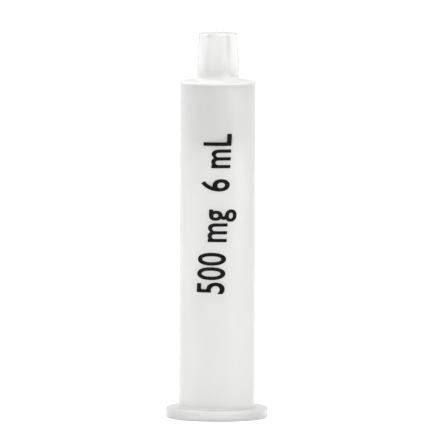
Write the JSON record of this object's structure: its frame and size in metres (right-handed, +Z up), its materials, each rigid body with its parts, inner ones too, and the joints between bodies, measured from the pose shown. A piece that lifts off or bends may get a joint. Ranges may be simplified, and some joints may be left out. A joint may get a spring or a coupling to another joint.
{
  "type": "spe cartridge",
  "caption": "Solid-phase extraction cartridge: a translucent flanged barrel with a packed sorbent bed between frits and a tapered outlet tip.",
  "frame": {"origin": "centre of the flange's open face, on the surface the cartridge stands on", "axes": "+Z runs up the bore from the open mouth to the outlet tip; X and Y are any two directions across the bore, and the capacity marking faces -Y"},
  "size_m": [0.0198, 0.0198, 0.0753],
  "materials": {
    "barrel_pp": "satin",
    "frit_pe": "matte",
    "sorbent": "matte"
  },
  "bodies": {
    "root": {"barrel": "barrel_pp", "outlet_frit": "frit_pe", "sorbent_bed": "sorbent", "inlet_frit": "frit_pe"}
  },
  "joints": []
}
